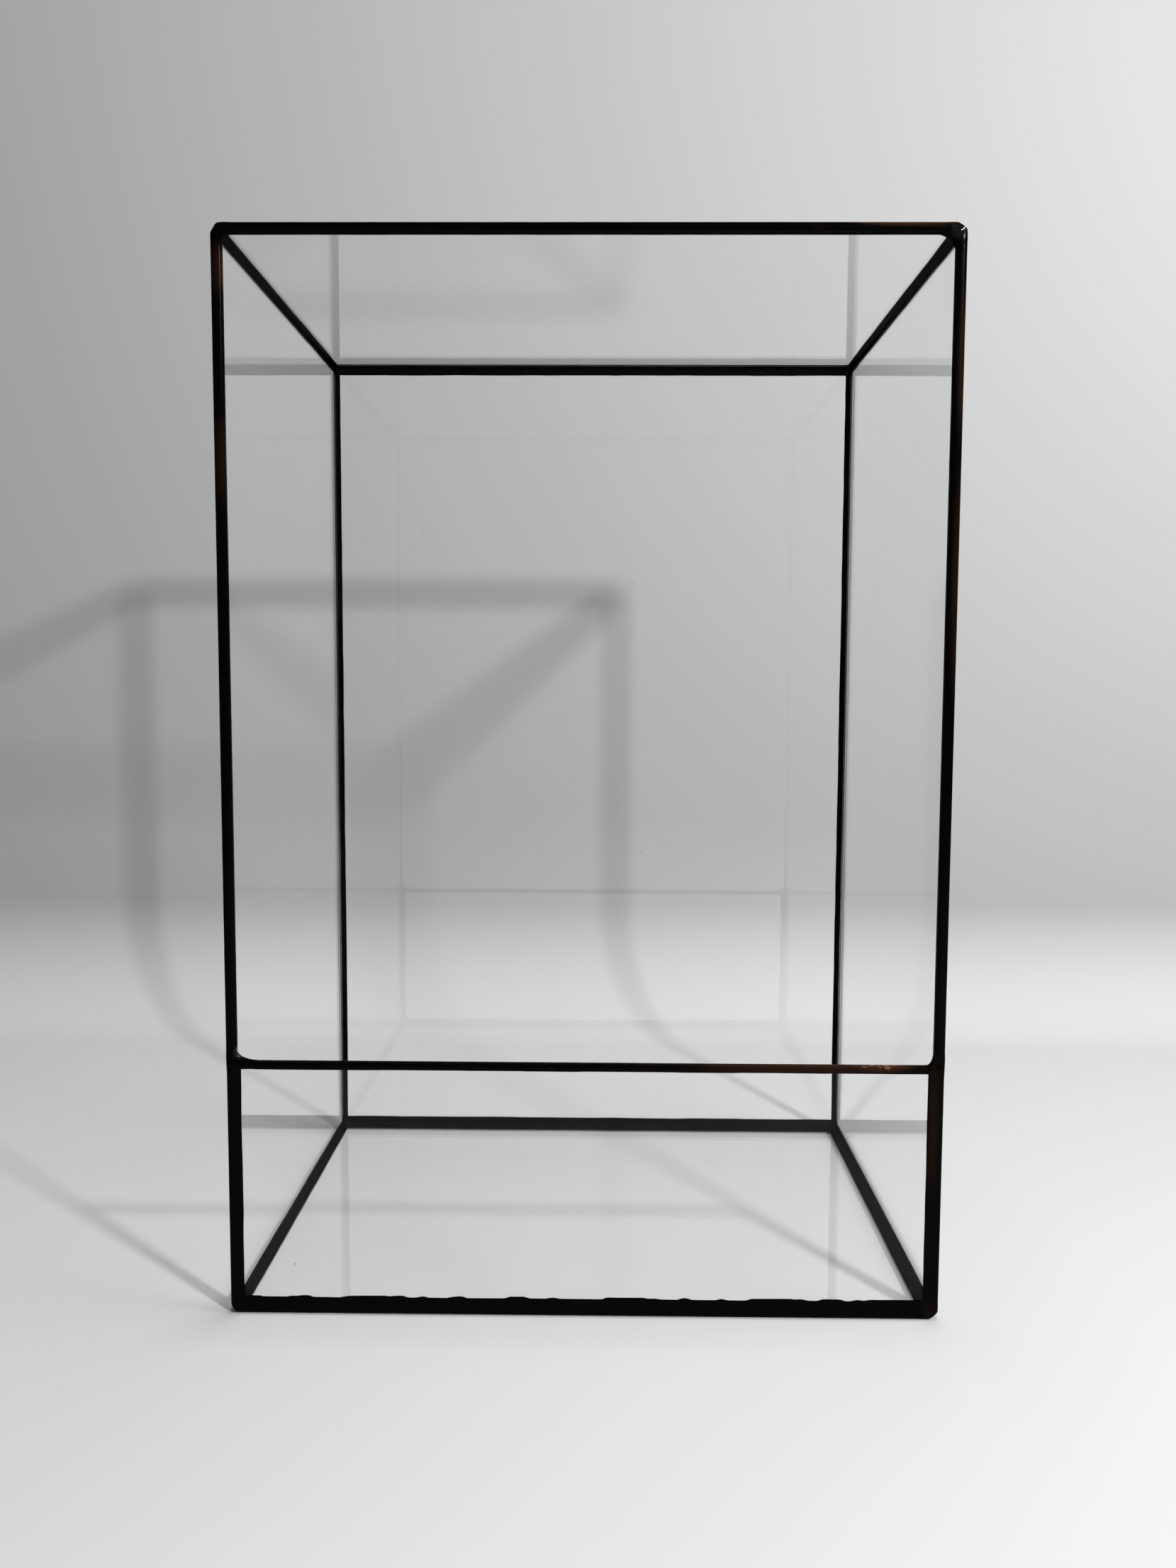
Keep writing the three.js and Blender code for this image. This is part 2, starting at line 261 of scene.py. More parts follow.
def beadSection(run):  # round one free edge: P crosses the pane, Q runs in from the edge
    middle, bulge, start = beadThickness / 2, run["bulge"] * mm, solder["crownDepth"]

    def halfRing(reach):
        ring = alongQ(lipRing(reach, start, bulge))
        return ring + roundOff(middle, start, bulge, 0.0, solder["crownPower"])

    near = halfRing(beadReach + run["lipP"] * mm)
    far = [((beadThickness - p, q), slide, (-push[0], push[1]))
           for (p, q), slide, push in halfRing(beadReach + run["lipQ"] * mm)]
    ring = near + [((middle, 0.0), (0.0, 0.0), (0.0, -1.0))] + far[::-1]
    ring += [still(beadThickness - skin, crown), still(skin, crown)]
    return ring


for run in runs.values():
    run["ring"] = beadSection(run) if run["kind"] == "bead" else joinedSection(run)


# Geometry Nodes: a section drawn along a straight run of solder, with wandering lips and swells

def solderLineTree():
    tree = bpy.data.node_groups.new("solderLine", "GeometryNodeTree")
    face = tree.interface
    face.new_socket("Section", in_out="INPUT", socket_type="NodeSocketGeometry")
    for name, value in (
        ("Length", 0.2), ("Ring Step", solder["ringStep"]), ("Lip Wander", 0.2 * mm),
        ("Lip Scale", 60.0), ("Scallop", 0.2 * mm), ("Scallop Scale", 45.0), ("Drift", 0.0),
        ("Swell", 0.05 * mm), ("Swell Scale", 160.0), ("Seed", 0.0),
    ):
        face.new_socket(name, in_out="INPUT", socket_type="NodeSocketFloat").default_value = value
    face.new_socket("Material", in_out="INPUT", socket_type="NodeSocketMaterial")
    face.new_socket("Solder", in_out="OUTPUT", socket_type="NodeSocketGeometry")
    given = tree.nodes.new("NodeGroupInput").outputs
    asked = tree.nodes.new("NodeGroupOutput").inputs

    def add(kind, inputs, **settings):
        return addNode(tree, kind, inputs, **settings)[0]

    def maths(operation, a, b):
        return mathsNode(tree, operation, a, b)

    def noiseAt(place, scale, seed, detail):
        inputs = {"Vector": place, "W": seed, "Scale": scale, "Detail": detail}
        return add("ShaderNodeTexNoise", inputs, noise_dimensions="4D")

    end = add("ShaderNodeCombineXYZ", {"Z": given["Length"]})
    path = add("GeometryNodeCurvePrimitiveLine", {"End": end})
    rings = add("GeometryNodeResampleCurve", {"Curve": path, "Length": given["Ring Step"]}, mode="LENGTH")
    profile = add("GeometryNodeMeshToCurve", {0: given["Section"]})
    swept = {"Curve": rings, "Profile Curve": profile, "Fill Caps": True}
    line = add("GeometryNodeCurveToMesh", swept)

    place = tree.nodes.new("GeometryNodeInputPosition").outputs[0]
    slide, swell = (
        add("GeometryNodeInputNamedAttribute", {"Name": name}, data_type="FLOAT_VECTOR")
        for name in ("slide", "swell")
    )
    wander = maths("SUBTRACT", noiseAt(place, given["Lip Scale"], given["Seed"], detail=3.0), 0.5)
    wander = maths("MULTIPLY", wander, given["Lip Wander"])
    later = maths("ADD", given["Seed"], waves["scallopSeed"])
    plateaus = {  # with short steps between them
        "Value": noiseAt(place, given["Scallop Scale"], later, detail=1.0),
        "From Min": waves["stepBand"][0], "From Max": waves["stepBand"][1],
        "To Min": -0.5, "To Max": 0.5,
    }
    steps = add("ShaderNodeMapRange", plateaus, interpolation_type="SMOOTHSTEP")
    scallop = maths("MULTIPLY", steps, given["Scallop"])
    split = addNode(tree, "ShaderNodeSeparateXYZ", {0: place})
    along = maths("DIVIDE", split["Z"], given["Length"])
    drift = maths("MULTIPLY", maths("SUBTRACT", along, 0.5), given["Drift"])
    offset = maths("ADD", maths("ADD", wander, scallop), drift)
    swelling = maths("SUBTRACT", noiseAt(place, given["Swell Scale"], given["Seed"], detail=2.0), 0.5)
    swelling = maths("MULTIPLY", swelling, given["Swell"])
    sliding = add("ShaderNodeVectorMath", {0: slide, "Scale": offset}, operation="SCALE")
    pushed = add("ShaderNodeVectorMath", {0: swell, "Scale": swelling}, operation="SCALE")
    both = add("ShaderNodeVectorMath", {0: sliding, 1: pushed})

    line = add("GeometryNodeSetPosition", {"Geometry": line, "Offset": both})
    line = add("GeometryNodeSetShadeSmooth", {"Geometry": line})
    line = add("GeometryNodeRealizeInstances", {0: line})
    line = add("GeometryNodeSetMaterial", {"Geometry": line, "Material": given["Material"]})
    tree.links.new(line, asked["Solder"])
    return tree


def sectionMesh(node):
    ring = runs[node]["ring"]
    mesh = bpy.data.meshes.new(node + "_section")
    count = len(ring)
    mesh.from_pydata(
        [(p, q, 0.0) for (p, q), slide, swell in ring],
        [(i, (i + 1) % count) for i in range(count)], [],
    )
    for label, index in (("slide", 1), ("swell", 2)):
        values = mesh.attributes.new(label, "FLOAT_VECTOR", "POINT")
        for i, point in enumerate(ring):
            values.data[i].vector = (*point[index], 0.0)
    return mesh


def facesOutwards(mesh):  # turns an inside-out mesh round
    mesh.calc_loop_triangles()
    volume = 0.0
    for triangle in mesh.loop_triangles:
        a, b, c = (mesh.vertices[i].co for i in triangle.vertices)
        volume += a.dot(b.cross(c))
    if volume < 0:
        mesh.flip_normals()


def settle(mesh, node):  # flattened on the bench, and stands for one CAD node
    for vertex in mesh.vertices:
        vertex.co.z = max(vertex.co.z, 0.0)
    facesOutwards(mesh)
    piece = newObject(mesh.name, mesh)
    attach(piece, "root")
    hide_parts(node)


# Shader node groups that several finishes share

def startGroup(name, inputs, outputs):
    group = bpy.data.node_groups.new(name, "ShaderNodeTree")
    for label, kind, value in inputs:
        socket = group.interface.new_socket(label, in_out="INPUT", socket_type=kind)
        if value is not None:
            socket.default_value = value
    for label in outputs:
        group.interface.new_socket(label, in_out="OUTPUT", socket_type="NodeSocketFloat")
    return group, group.nodes.new("NodeGroupInput").outputs, group.nodes.new("NodeGroupOutput").inputs


def noiseNode(tree, vector, scale, detail, roughness=0.5):
    inputs = {"Vector": vector, "Scale": scale, "Detail": detail, "Roughness": roughness}
    return addNode(tree, "ShaderNodeTexNoise", inputs)[0]


def wornPatchesGroup():  # where a finish is rubbed thin
    group, given, asked = startGroup(
        "wornPatches",
        [("Vector", "NodeSocketVector", None), ("Scale", "NodeSocketFloat", 90.0),
         ("Coverage", "NodeSocketFloat", 0.3), ("Softness", "NodeSocketFloat", 0.12),
         ("Tone Scale", "NodeSocketFloat", 700.0)],
        ["Mask", "Tone"],
    )
    # the noise is mostly between 0.3 and 0.7, so no coverage is above it and full below it
    level = mathsNode(group, "MULTIPLY_ADD", given["Coverage"], -0.5, 0.75)
    inputs = {
        "Value": noiseNode(group, given["Vector"], given["Scale"], detail=5.0, roughness=0.6),
        "From Min": level,
        "From Max": mathsNode(group, "ADD", level, given["Softness"]),
    }
    edge = addNode(group, "ShaderNodeMapRange", inputs, interpolation_type="SMOOTHSTEP")[0]
    group.links.new(edge, asked["Mask"])
    tone = noiseNode(group, given["Vector"], given["Tone Scale"], detail=3.0)
    group.links.new(tone, asked["Tone"])
    return group


def rubbedSpotGroup():  # a soft oval round one place, full within 0.3 of its reach
    group, given, asked = startGroup(
        "rubbedSpot",
        [("Vector", "NodeSocketVector", None), ("Centre", "NodeSocketVector", (0, 0, 0)),
         ("Reach", "NodeSocketVector", (0.01, 0.01, 0.01))],
        ["Mask"],
    )
    away = {0: given["Vector"], 1: given["Centre"]}
    away = addNode(group, "ShaderNodeVectorMath", away, operation="SUBTRACT")[0]
    share = addNode(group, "ShaderNodeVectorMath", {0: away, 1: given["Reach"]}, operation="DIVIDE")[0]
    far = addNode(group, "ShaderNodeVectorMath", {0: share}, operation="LENGTH")["Value"]
    inputs = {"Value": far, "From Min": 1.0, "From Max": 0.3}
    fade = addNode(group, "ShaderNodeMapRange", inputs, interpolation_type="SMOOTHSTEP")[0]
    group.links.new(fade, asked["Mask"])
    return group


def pouredSkinGroup():  # the fine orange peel of cooled solder
    group, given, asked = startGroup(
        "pouredSkin",
        [("Vector", "NodeSocketVector", None), ("Ripple Scale", "NodeSocketFloat", 350.0),
         ("Grain Scale", "NodeSocketFloat", 2600.0), ("Grain Share", "NodeSocketFloat", 0.2)],
        ["Height", "Variation"],
    )
    grain = noiseNode(group, given["Vector"], given["Grain Scale"], detail=4.0, roughness=0.65)
    ripple = noiseNode(group, given["Vector"], given["Ripple Scale"], detail=2.0)
    mix = addNode(group, "ShaderNodeMix", {0: given["Grain Share"], 2: ripple, 3: grain})[0]
    group.links.new(mix, asked["Height"])
    group.links.new(grain, asked["Variation"])
    return group


def dustGroup():  # a few specks and a faint uneven film
    group, given, asked = startGroup(
        "dust",
        [("Vector", "NodeSocketVector", None), ("Speck Scale", "NodeSocketFloat", 60.0),
         ("Speck Size", "NodeSocketFloat", 0.012), ("Film Scale", "NodeSocketFloat", 14.0)],
        ["Specks", "Film"],
    )
    cells = {"Vector": given["Vector"], "Scale": given["Speck Scale"]}
    distance = addNode(group, "ShaderNodeTexVoronoi", cells)["Distance"]
    near = mathsNode(group, "LESS_THAN", distance, given["Speck Size"])
    group.links.new(near, asked["Specks"])
    film = noiseNode(group, given["Vector"], given["Film Scale"], detail=4.0, roughness=0.55)
    group.links.new(film, asked["Film"])
    return group


wornPatches, rubbedSpot = wornPatchesGroup(), rubbedSpotGroup()
pouredSkin, dust = pouredSkinGroup(), dustGroup()


# Finishes

class Finish:  # a material with its own shader and a few ways to feed it
    def __init__(self, name):
        self.material = bpy.data.materials.new(name)
        self.material.use_nodes = True
        self.tree = self.material.node_tree
        self.nodes, self.links = self.tree.nodes, self.tree.links
        self.shader = self.nodes["Principled BSDF"]
        self.place = self.nodes.new("ShaderNodeTexCoord").outputs["Object"]

    def group(self, tree, **values):  # speckScale=... feeds the input Speck Scale, and so on
        inputs = {"Vector": self.place}
        for name, value in values.items():
            label = "".join(" " + c if c.isupper() else c for c in name)
            inputs[label[0].upper() + label[1:]] = value
        return addNode(self.tree, "ShaderNodeGroup", inputs, node_tree=tree)

    def mixed(self, factor, a, b):
        a, b = ((*end, 1.0) if isinstance(end, tuple) else end for end in (a, b))
        return addNode(self.tree, "ShaderNodeMix", {0: factor, 6: a, 7: b}, data_type="RGBA")[2]

    def ranged(self, value, low, high, top=1.0):
        inputs = {"Value": value, "From Max": top, "To Min": low, "To Max": high}
        return addNode(self.tree, "ShaderNodeMapRange", inputs)[0]

    def maths(self, operation, a, b):
        return mathsNode(self.tree, operation, a, b)

    def feed(self, name, value):
        self.links.new(value, self.shader.inputs[name])

    def bump(self, heightMap, strength, distance):
        inputs = {"Strength": strength, "Distance": distance, "Height": heightMap}
        self.feed("Normal", addNode(self.tree, "ShaderNodeBump", inputs)[0])

    def letThrough(self, hidden, tint=(1.0, 1.0, 1.0)):  # clear where hidden is 1
        clear = addNode(self.tree, "ShaderNodeBsdfTransparent", {"Color": (*tint, 1.0)})[0]
        ends = {0: hidden, 1: self.shader.outputs[0], 2: clear}
        both = addNode(self.tree, "ShaderNodeMixShader", ends)[0]
        self.links.new(both, self.nodes["Material Output"].inputs["Surface"])


patina = {
    "wornScale": 330.0,
    "stainScale": 44.0,
    "rippleScale": 350.0,
    "black": (0.0012, 0.0011, 0.0011),
    "brownBlack": (0.075, 0.033, 0.016),
    "brownMetal": 0.6,  # how metallic the brown is
    "copper": (0.11, 0.045, 0.02),
    "bright": (0.5, 0.25, 0.12),
    "brown": 0.32,  # share of the surface
    "stainShare": 0.2,  # how brown a stain is
    "stainSoftness": 0.3,
    "wornBase": 0.03,  # share of the surface, away from the rubbed spots
    "wornSpot": 0.58,  # more in them
    "wornSoftness": 0.1,
    "wornMetal": 0.45,  # how metallic the bare copper is
    "roughness": (0.1, 0.32),
    "specular": (0.045, 0.003),  # face on and at a slant
    "slant": 0.7,  # Layer Weight's facing where the second is reached
    "bump": 0.16,
    "bumpDepth": 0.1 * mm,
    "spots": [  # place and reach in millimetres, how brown, how worn
        ((-98.5, -74, 288), (3, 5, 9), 0.24, 0.1),
        ((-98.5, -74, 238), (3, 5, 16), 0.16, 0.05),
        ((84, -74, 300.2), (18, 5, 1.6), 0.8, 0.2),
        ((60, -74, 72.2), (40, 5, 4), 0.34, 0.12),
        ((82, -74, 72.8), (12, 5, 2.4), 0.6, 0.95),
        ((97, -75, 56), (2.4, 3, 26), 0.16, 0.05),
        ((97.5, -75, 2), (2.6, 4, 4.5), 0.1, 0.4),
        ((100, -75, 205), (2.6, 4, 40), 0.2, 0.08),
        ((100, -75, 264), (2.6, 4, 26), 0.22, 0.08),
    ],
    "shine": [  # drops that stayed bright
        ((97.9, -75, 298), (3.2, 4, 3.2)),
        ((-96.2, -75, 75.5), (2.2, 4, 2.4)),
    ],
    "shineRoughness": 0.4,  # share of the roughness left there
    "shineSpecular": 0.5,
}


def patinaFinish():
    made = Finish("blackPatina")
    brownSpots, wornSpots = 0.0, 0.0
    for centre, reach, brown, worn in patina["spots"]:
        spot = made.group(rubbedSpot, centre=[c * mm for c in centre], reach=[r * mm for r in reach])[0]
        brownSpots = made.maths("MAXIMUM", brownSpots, made.maths("MULTIPLY", spot, brown))
        wornSpots = made.maths("MAXIMUM", wornSpots, made.maths("MULTIPLY", spot, worn))
    coverage = made.maths("MULTIPLY", wornSpots, patina["wornSpot"])
    coverage = made.maths("ADD", coverage, patina["wornBase"])
    worn = made.group(wornPatches, scale=patina["wornScale"], coverage=coverage,
                      softness=patina["wornSoftness"])
    stains = made.group(wornPatches, scale=patina["stainScale"], coverage=patina["brown"],
                        softness=patina["stainSoftness"])
    stained = made.maths("MULTIPLY", stains["Mask"], patina["stainShare"])
    browned = made.maths("MAXIMUM", brownSpots, stained)
    surface = made.group(pouredSkin, rippleScale=patina["rippleScale"])
    colour = made.mixed(browned, patina["black"], patina["brownBlack"])
    copper = made.mixed(worn["Tone"], patina["copper"], patina["bright"])
    made.feed("Base Color", made.mixed(worn["Mask"], colour, copper))
    brownMetal = made.maths("MULTIPLY", browned, patina["brownMetal"])
    wornMetal = made.maths("MULTIPLY", worn["Mask"], patina["wornMetal"])
    made.feed("Metallic", made.maths("MAXIMUM", wornMetal, brownMetal))
    shine = 0.0
    for centre, reach in patina["shine"]:
        drop = made.group(rubbedSpot, centre=[c * mm for c in centre], reach=[r * mm for r in reach])[0]
        shine = made.maths("MAXIMUM", shine, drop)
    roughness = made.ranged(surface["Variation"], *patina["roughness"])
    calm = made.ranged(shine, 1.0, patina["shineRoughness"])
    made.feed("Roughness", made.maths("MULTIPLY", roughness, calm))
    facing = made.nodes.new("ShaderNodeLayerWeight").outputs["Facing"]
    specular = made.ranged(facing, *patina["specular"], patina["slant"])
    bright = made.maths("MULTIPLY", shine, patina["shineSpecular"])
    made.shader.inputs["Specular IOR Level"].default_value = patina["specular"][0]
    made.feed("Specular IOR Level", made.maths("MAXIMUM", specular, bright))
    made.bump(surface["Height"], patina["bump"], patina["bumpDepth"])
    return made.material


glass = {
    "tint": (0.993, 0.996, 0.994),
    "speckColour": (0.45, 0.45, 0.43),
    "speckScale": 45.0,
    "speckSize": 0.016,
    "filmScale": 12.0,
    "smudge": 0.012,  # roughness
    "ior": 1.51,
    "mirror": 1.0,  # share of plain glass's face-on reflection
    "sillMirrorPaintedShade": 0.15,  # painted shade: the sill pane's reflection is cut to this share of plain glass's, as if the floor in front of it lay in shade, so the seams behind it look nearly black
    "through": (0.99, 0.991, 0.99),  # of lamp light and bounced light, at each face
}


def glassFinish(name, mirror):
    made = Finish(name)
    specks = made.group(dust, **{key: glass[key] for key in ("speckScale", "speckSize", "filmScale")})
    made.feed("Base Color", made.mixed(specks["Specks"], glass["tint"], glass["speckColour"]))
    made.feed("Roughness", made.ranged(specks["Film"], 0.0, glass["smudge"]))
    made.shader.inputs["Transmission Weight"].default_value = 1.0
    made.shader.inputs["IOR"].default_value = glass["ior"]
    made.shader.inputs["Specular Tint"].default_value = (mirror, mirror, mirror, 1.0)
    path = made.nodes.new("ShaderNodeLightPath").outputs
    passing = made.maths("MAXIMUM", path["Is Shadow Ray"], path["Is Diffuse Ray"])
    made.letThrough(passing, glass["through"])
    return made.material


foilBack = {
    "dark": (0.0045, 0.004, 0.0035),
    "bare": (0.016, 0.009, 0.006),
    "bareScale": 160.0,
    "bareShare": 0.3,
    "bareSoftness": 0.2,
    "rippleScale": 500.0,
    "roughness": (0.35, 0.6),
    "specular": 0.2,
    "bump": 0.3,
    "bumpDepth": 0.05 * mm,
}


def foilFinish():  # the blackened back of the tape, which is what shows through the glass
    made = Finish("foilTape")
    worn = made.group(wornPatches, scale=foilBack["bareScale"], coverage=foilBack["bareShare"],
                      softness=foilBack["bareSoftness"])
    surface = made.group(pouredSkin, rippleScale=foilBack["rippleScale"])
    made.feed("Base Color", made.mixed(worn["Mask"], foilBack["dark"], foilBack["bare"]))
    made.feed("Roughness", made.ranged(surface["Variation"], *foilBack["roughness"]))
    made.shader.inputs["Specular IOR Level"].default_value = foilBack["specular"]
    made.bump(surface["Height"], foilBack["bump"], foilBack["bumpDepth"])
    return made.material


blackPatina, foilTape = patinaFinish(), foilFinish()
clearGlass = glassFinish("clearGlass", glass["mirror"])
# painted shade: the sill's glass is a copy of the clear glass that mirrors far less, standing in for
# shade in front of it
sillGlassPaintedShade = glassFinish("sillGlassPaintedShade", glass["sillMirrorPaintedShade"])
for name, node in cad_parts.items():
    if name.endswith("_glass"):
        node.data.materials.clear()
        node.data.materials.append(sillGlassPaintedShade if name == "sill_glass" else clearGlass)
print("finishes made")


# Foil tape, folded round every edge of a pane by hand, so its laps differ and waver

tape = {
    "thickness": 0.05 * mm,
    "wave": 0.12 * mm,
    "waveScale": 90.0,
    "step": 1.5 * mm,
    "fadeParts": 8,  # the waves fade out over the last eighth of an edge
    "seedStep": 40,  # from one face of the pane to the other
    "laps": {  # edge: over the outer and the inner face, in millimetres, where it isn't the usual
        "left": {"z+": (1.95, 1.95), "z-": (1.6, 1.75), "y+": (0.5, 1.5), "y-": (1.4, 1.8)},
        "right": {"z+": (1.85, 1.85), "z-": (2.1, 2.3), "y+": (0.5, 1.5), "y-": (1.4, 1.9)},
        "top": {"x-": (0.55, 0.95), "x+": (0.9, 1.2), "y+": (0.25, 1.4)},
        "back": {"x-": (0.95, 1.2), "x+": (0.95, 1.3)},
        "base": {"x+": (1.9, 2.1)},
        "sill": {"x-": (1.25, 0.85), "z-": (2.1, 0.85)},
    },
}


def tapeLoops(low, high, axis, laps, seed):  # eight loops of points round the pane, in order
    u, v = [i for i in range(3) if i != axis]
    outside = low[axis] + high[axis] < cadBox[0][axis] + cadBox[1][axis]
    faces = ((low[axis], -1), (high[axis], 1)) if outside else ((high[axis], 1), (low[axis], -1))
    usual = solder["lap"] / mm
    counts = [round((high[i] - low[i]) / tape["step"]) for i in (u, v, u, v)]

    def loop(level, insets):  # from the edges v-, u+, v+, u-, each with its share of the waves
        before, right, after, left = (inset[0] for inset in insets)
        corners = [
            Vector((low[u] + left, low[v] + before)), Vector((high[u] - right, low[v] + before)),
            Vector((high[u] - right, high[v] - after)), Vector((low[u] + left, high[v] - after)),
        ]
        inwards = ((0, 1), (-1, 0), (0, -1), (1, 0))
        points = []
        for side in range(4):
            start, end = corners[side], corners[(side + 1) % 4]
            for i in range(counts[side]):
                t = i / counts[side]
                point = start.lerp(end, t)
                fade = min(1.0, tape["fadeParts"] * t, tape["fadeParts"] * (1 - t)) * insets[side][1]
                place = Vector((*point, seed + level * tape["seedStep"]))
                wave = noise.noise(place * tape["waveScale"])
                point += Vector(inwards[side]) * wave * fade * tape["wave"]
                spot = [level, level, level]
                spot[u], spot[v] = point
                points.append(tuple(spot))
        return points

    names = "xyz"
    edges = (names[v] + "-", names[u] + "+", names[v] + "+", names[u] + "-")
    gap = foilLift - tape["thickness"]
    loops = []
    for lift in (foilLift, gap):
        for face in ((0, 1) if lift == foilLift else (1, 0)):
            level = faces[face][0] + faces[face][1] * lift
            window = [(laps.get(edge, (usual, usual))[face] * mm, 1.0) for edge in edges]
            pair = [loop(level, window), loop(level, [(-lift, 0.0)] * 4)]
            loops += pair if (face == 0) == (lift == foilLift) else pair[::-1]
    return loops


def wrapPane(number, pane):
    low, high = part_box(pane + "_glass")
    axis = min(range(3), key=lambda i: high[i] - low[i])
    loops = tapeLoops(low, high, axis, tape["laps"].get(pane, {}), float(number))
    count = len(loops[0])
    vertices = [point for loop in loops for point in loop]
    faces = []
    for k in range(len(loops)):
        a, b = k * count, (k + 1) % len(loops) * count
        for i in range(count):
            j = (i + 1) % count
            faces.append([a + i, a + j, b + j, b + i])
    mesh = bpy.data.meshes.new(pane + "_foil_wrapped")
    mesh.from_pydata(vertices, [], faces)
    mesh.materials.append(foilTape)
    settle(mesh, pane + "_foil")


for number, pane in enumerate(("base", "back", "left", "right", "top", "sill")):
    wrapPane(number, pane)
print("panes wrapped")


# Pouring the runs

def buildRun(number, node, tree):
    run = runs[node]
    axis = run["sides"].index(None)
    p, q = towards(run["p"]), towards(run["q"])
    start, end = span(node, axis)
    start, end = start - waves["tuck"] * mm, end + waves["tuck"] * mm
    host = newObject(node + "_section", sectionMesh(node))
    modifier = host.modifiers.new("solderLine", "NODES")
    modifier.node_group = tree
    along = p.cross(q)
    values = {
        "Length": end - start,
        "Lip Wander": run["wander"] * mm,
        "Lip Scale": waves["lipScale"],
        "Scallop": run["scallop"] * mm,
        "Scallop Scale": run["scallopScale"],
        "Drift": run["drift"] * mm * (1 if along[axis] > 0 else -1),
        "Swell": waves["swell"] * mm,
        "Swell Scale": waves["swellScale"],
        "Seed": waves["seedStep"] * number,
        "Material": blackPatina,
    }
    sockets = {s.name: s.identifier for s in tree.interface.items_tree if s.in_out == "INPUT"}
    for label, value in values.items():
        modifier[sockets[label]] = value
    mesh = plainMesh(host, node + "_poured")
    host.modifiers.remove(modifier)
    bpy.data.objects.remove(host)
    centre = edgePoint(run["sides"])
    centre[axis] = (start + end) / 2
    turn = Matrix((p, q, along)).transposed().to_4x4()
    mesh.transform(Matrix.Translation(centre) @ turn @ Matrix.Translation((0, 0, (start - end) / 2)))
    settle(mesh, node)


solderLine = solderLineTree()
for number, node in enumerate(runs):
    buildRun(number, node, solderLine)
print("seams and beads poured")


# Lumps of solder where runs meet. Stubs of the runs' filled sections are joined, trimmed,
# smoothed like solder that has flowed together, and cut clear of the foiled panes.

lump = {
    "voxel": 0.15 * mm,
    "smoothing": 9,
    "smoothFactor": 0.5,
    "crease": math.radians(50),  # sharper edges stay sharp
    "rise": 0.06 * mm,  # above the runs, at the lump's middle
    "sink": 0.12 * mm,  # below them, at its ends
    "stub": 3.0 * mm,  # past the CAD corner
    "stubSteps": (0.02, 0.1, 0.25, 0.5, 0.8, 1.2, 1.7, 2.3, *range(3, 12)),  # in millimetres
    "sinkFrom": 0.45,  # share of a stub's reach
    "beadRound": 0.95,  # of a corner's edge along a bead, in millimetres
    "capClearance": 0.1 * mm,
    "bankSunk": 0.9 * mm,  # a bank's back, inside the runs
    "bankSteps": 8,
    "bankLayers": ((0.2, 0.82), (0.45, 0.94), (0.8, 1.0), (1.5, 1.0), (2.1, 0.85)),  # depth, share
    "underRim": 1.2 * mm,  # where the bead above a sill joint begins
    "ripple": 0.06 * mm,
    "rippleScale": 420.0,
}


def roundedIn(t, radius):  # how far a rounded edge has drawn in at a distance t from its end
    if t >= radius:
        return -math.inf
    drawn = radius - math.sqrt(max(0.0, radius * radius - (radius - t) ** 2))
    return drawn - lump["capClearance"]


class Clay:  # closed shapes that overlap, for the remesher to make one of
    def __init__(self):
        self.points, self.faces = [], []

    def loft(self, rings):
        offset, size = len(self.points), len(rings[0])
        for ring in rings:
            self.points += ring
        for k in range(len(rings) - 1):
            self.faces += ringFaces(offset + k * size, offset + (k + 1) * size, size)
        self.faces.append([offset + i for i in range(size)])
        self.faces.append([offset + len(rings) * size - 1 - i for i in range(size)])

    def stub(self, node, origin, along, reach, capP=0.0, capQ=0.0):
        # along starts at the corner's outer face and points into the run
        run = runs[node]
        p, q = towards(run["p"]), towards(run["q"])
        ring = [(point, swell) for point, slide, swell in run["ring"] if any(slide) or any(swell)]
        places = [t * mm for t in lump["stubSteps"] if t * mm < reach] + [reach]
        rings = []
        for t in places:
            fade = min(1.0, max(0.0, (t - lump["sinkFrom"] * reach) / ((1 - lump["sinkFrom"]) * reach)))
            lift = lump["rise"] * (1 - fade) - lump["sink"] * fade
            rings.append([
                origin + along * t
                + p * max(a + swell[0] * lift, roundedIn(t, capP))
                + q * max(b + swell[1] * lift, roundedIn(t, capQ))
                for (a, b), swell in ring
            ])
        self.loft(rings)

    def blob(self, centre, radius, rows=10, columns=16):
        rings = []
        for r in range(1, rows):
            down = math.pi * r / rows
            rings.append([
                centre + radius * Vector((
                    math.sin(down) * math.cos(2 * math.pi * c / columns),
                    math.sin(down) * math.sin(2 * math.pi * c / columns),
                    math.cos(down),
                )) for c in range(columns)
            ])
        self.loft(rings)

    def bank(self, origin, across, up, shape):  # fills the corner of an opening
        width, tall = shape["width"] * mm, shape["height"] * mm
        start, end = Vector((width, 0.0)), Vector((0.0, tall))
        pull = ((start + end) / 2).lerp(Vector((0.0, 0.0)), shape["sag"])
        sunk = -lump["bankSunk"]
        ring = [(sunk, sunk), (width, sunk)]
        for i in range(lump["bankSteps"] + 1):
            t = i / lump["bankSteps"]
            ring.append(tuple((1 - t) ** 2 * start + 2 * t * (1 - t) * pull + t * t * end))
        ring.append((sunk, tall))
        rings = []
        for depth, shrink in lump["bankLayers"]:
            rings.append([
                origin + Vector((0, depth * mm, 0))
                + across * (a * shrink if a > 0 else a) + up * (b * shrink if b > 0 else b)
                for a, b in ring
            ])
        self.loft(rings)


